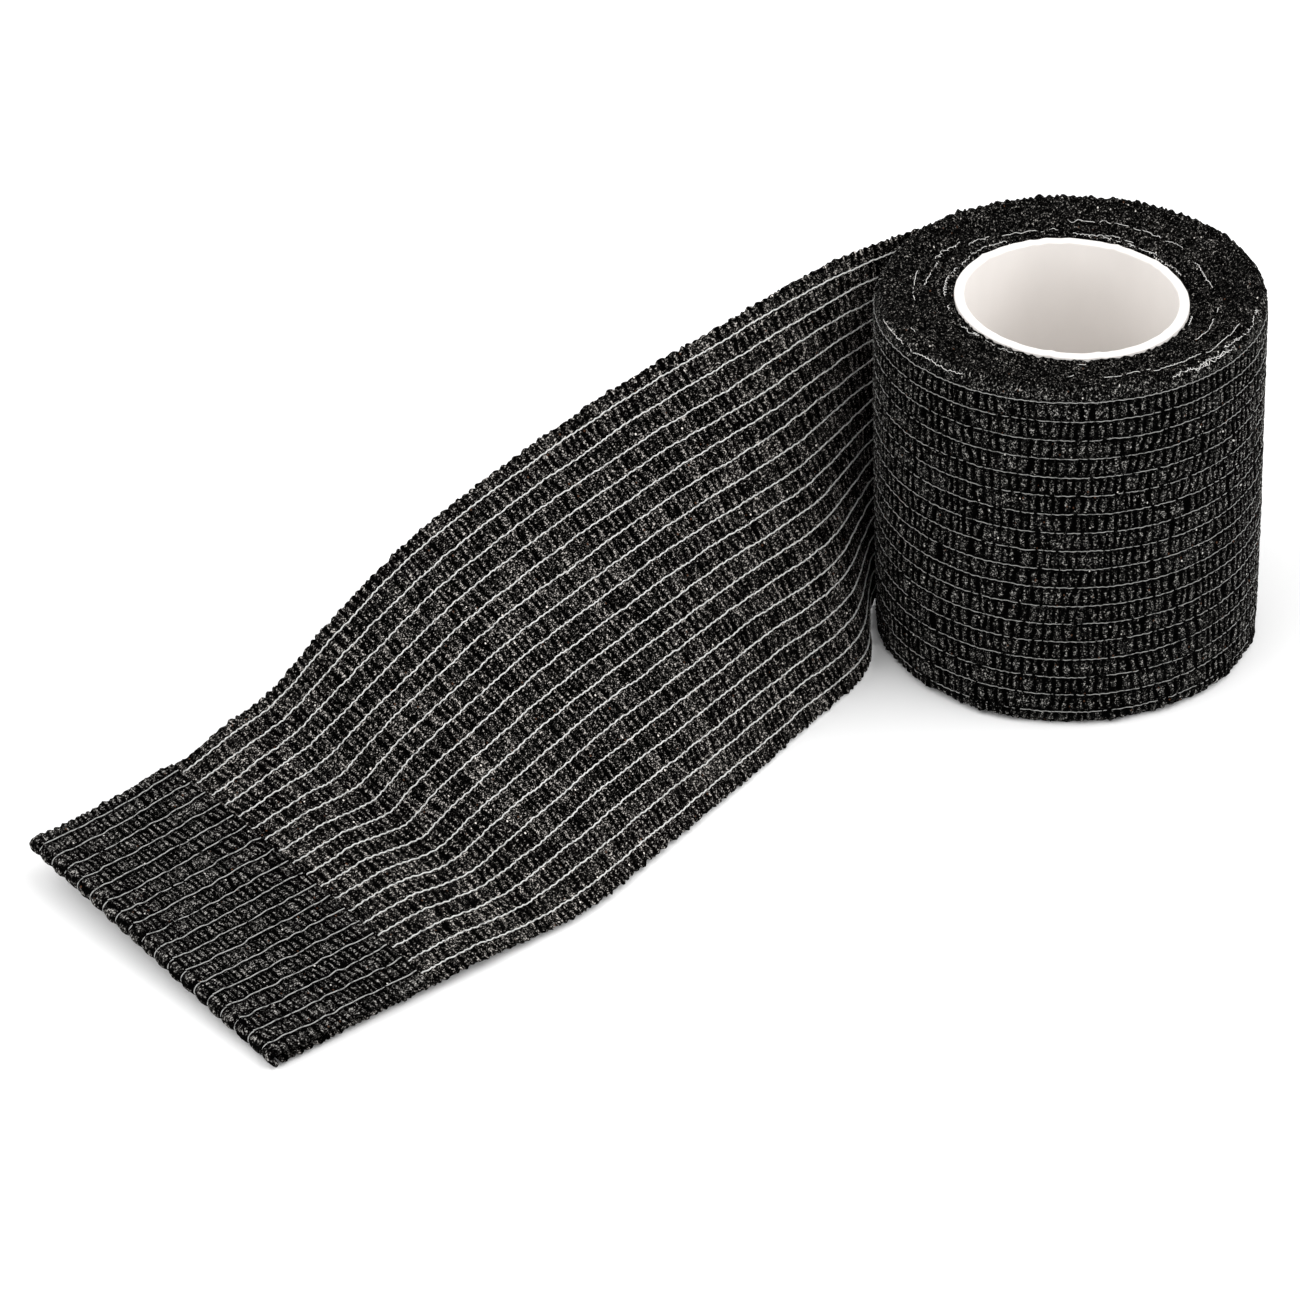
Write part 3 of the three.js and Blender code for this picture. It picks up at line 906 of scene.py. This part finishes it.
def make_tab_threads():
    outer, outer_bends, inner, inner_bends = [], [], [], []
    s = np.linspace(BEND_LENGTH, TAB_END - 0.2, int(TAB_LENGTH / (0.2 * FINE)))
    bend_s = np.linspace(0.0, BEND_LENGTH, 24)
    below = -WEB_HALF - 0.05
    for index, level in enumerate(thread_heights()):
        wander = 0.35 * (noise(s / 1.2, index * 1.9 + 0.5, 241) - 0.5)
        lift = 0.20 + 0.20 * noise(s / 0.8, index * 2.7 + 0.5, 242)
        outer.append(tab_point(s, (level + wander) / TAPE_WIDTH, lift))
        outer_bends.append(tab_point(bend_s, level / TAPE_WIDTH, 0.13))
        inner.append(tab_point(s, (level + wander) / TAPE_WIDTH, below))
        inner_bends.append(tab_point(bend_s, level / TAPE_WIDTH, below))
    threads = tubes("tab_threads", outer, TAB_THREAD_R)
    paint(threads, tab_thread)
    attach(threads, "tab")
    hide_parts(*thread_nodes("tab"))
    fold_threads = tubes("fold_threads", outer_bends, FOLD_THREAD_R)
    paint(fold_threads, tab_thread)
    across_fold(fold_threads)
    inner_threads = tubes("tab_threads_inner_face", inner, INNER_TAB_THREAD_R)
    paint(inner_threads, bright_thread)
    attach(inner_threads, "tab")
    inner_fold = tubes("fold_threads_inner_face", inner_bends, INNER_TAB_THREAD_R)
    paint(inner_fold, bright_thread)
    across_fold(inner_fold)


make_tab()
make_tab_threads()

# ---- loose yarn on the roll's end ----

# radius in mm, start and end angle in degrees, and how kinked it is
YARN_ARCS = [
    (15.7, 152, 178, 1.0), (15.6, 188, 194, 0.9), (15.7, 206, 218, 0.9), (17.6, 121, 132, 1.0),
    (18.7, 134, 150, 0.9), (18.1, 153, 172, 1.0), (19.6, 160, 184, 0.2), (16.8, 90, 116, 0.3),
    (15.7, 139, 150, 0.8), (15.9, 127, 136, 1.0), (15.8, 222, 238, 0.9), (15.9, 116, 124, 1.0),
    (16.3, 56, 84, 1.0), (15.4, 22, 58, 0.8), (15.9, 42, 70, 0.9), (18.9, 62, 86, 0.2),
    (18.8, 36, 60, 0.4), (17.9, 4, 32, 0.5), (18.4, 320, 340, 0.4), (15.3, 334, 342, 0.6),
    (21.1, 276, 292, 0.4), (21.7, 292, 312, 0.8), (22.2, 313, 334, 0.4), (24.0, 296, 318, 0.9),
    (23.8, 318, 344, 1.0), (22.3, 202, 205, 0.8), (16.4, 231, 233, 0.5), (18.4, 344, 347, 0.6),
    (20.8, 264, 266, 0.5), (24.2, 192, 207, 0.3), (24.2, 211, 232, 0.3), (24.2, 304, 322, 0.9),
    (17.2, 268, 271, 0.5),
]
YARN_STEP = 0.06
YARN_LIFT = 0.12
SHOULDER_R = 23.4  # outside this radius the yarn dips, as the roll's end rounds down


def yarn_path(radius, start, end, kink, row):
    """A loose bit of yarn lying in a kinked arc on the roll's top; angles in degrees."""
    count = max(10, int(abs(end - start) * math.pi / 180 * radius / YARN_STEP))
    a = np.radians(np.linspace(start, end, count))
    run = np.arange(count) * YARN_STEP
    spin = 2 * math.pi * (run / 0.62 + 1.8 * noise(run / 1.1, row * 1.3 + 0.5, 301))
    loop = 0.16 * kink * (0.1 + 1.3 * noise(run / 0.9, row * 2.7 + 0.5, 304))
    r = radius + loop * np.cos(spin) + 0.5 * (noise(run / 3.1, row * 1.9 + 0.5, 303) - 0.5)
    a = a + loop * np.sin(spin) / radius
    share = np.clip((r - PACK_BORE_R) / (PACK_OUTER_R - PACK_BORE_R), 0, 1)
    rounding = 0.9 * np.clip(r - SHOULDER_R, 0, 1) ** 2
    z = TAPE_WIDTH + YARN_LIFT - rounding + 0.5 * (noise(run / 0.8, row * 2.1 + 0.5, 302) - 0.5)
    x = r * np.cos(a)
    return np.stack([x, r * np.sin(a) + (CORE_SHIFT_Y + CORE_OVAL * x) * (1 - share), z], -1)


def make_loose_yarn():
    paths = [yarn_path(*arc, row) for row, arc in enumerate(YARN_ARCS)]
    yarn = tubes("loose_yarn", paths, YARN_R)
    paint(yarn, yarn_thread)
    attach(yarn, "roll")


make_loose_yarn()


def paint_tack_strip():
    """The glue strip between core and tape stays as its CAD node."""
    n = Nodes("tack_glue")
    ripple = n.add("ShaderNodeTexNoise", Scale=900.0, Detail=2.0)
    colour = n.ramp(ripple.outputs["Fac"], [(0.3, (0.55, 0.5, 0.38)), (0.7, (0.72, 0.68, 0.56))])
    n.link(colour, n.shader.inputs["Base Color"])
    n.shader.inputs["Roughness"].default_value = 0.4
    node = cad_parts["core_tack_strip"]
    node.data.materials.clear()
    node.data.materials.append(n.material)


paint_tack_strip()

# ---- floor and light ----


def make_floor():
    bpy.ops.mesh.primitive_plane_add(size=6, location=(0, 0, 0))
    floor = bpy.context.object
    floor.name = "floor"
    material = bpy.data.materials.new("floor")
    material.use_nodes = True
    shader = material.node_tree.nodes["Principled BSDF"]
    shader.inputs["Base Color"].default_value = (0.95, 0.95, 0.95, 1)
    shader.inputs["Roughness"].default_value = 0.8
    floor.data.materials.append(material)


def make_world():
    world = bpy.data.worlds.new("studio")
    world.use_nodes = True
    background = world.node_tree.nodes["Background"]
    background.inputs["Color"].default_value = (1, 1, 1, 1)
    background.inputs["Strength"].default_value = 0.75
    bpy.context.scene.world = world


def make_softbox(name, location, power):
    """A square light 1 m across that faces the object; its place is in metres, its power in watts."""
    data = bpy.data.lights.new(name, "AREA")
    data.size = 1.0
    data.energy = power
    light = bpy.data.objects.new(name, data)
    bpy.context.scene.collection.objects.link(light)
    light.location = location
    towards = Vector((0, 0, 0.02)) - Vector(location)
    light.rotation_euler = towards.to_track_quat("-Z", "Y").to_euler()


make_floor()
make_world()
make_softbox("right_softbox", (0.60, -0.20, 0.65), 7.0)
make_softbox("left_softbox", (-0.60, -0.16, 0.62), 4.9)
bpy.context.scene.view_settings.view_transform = "Standard"
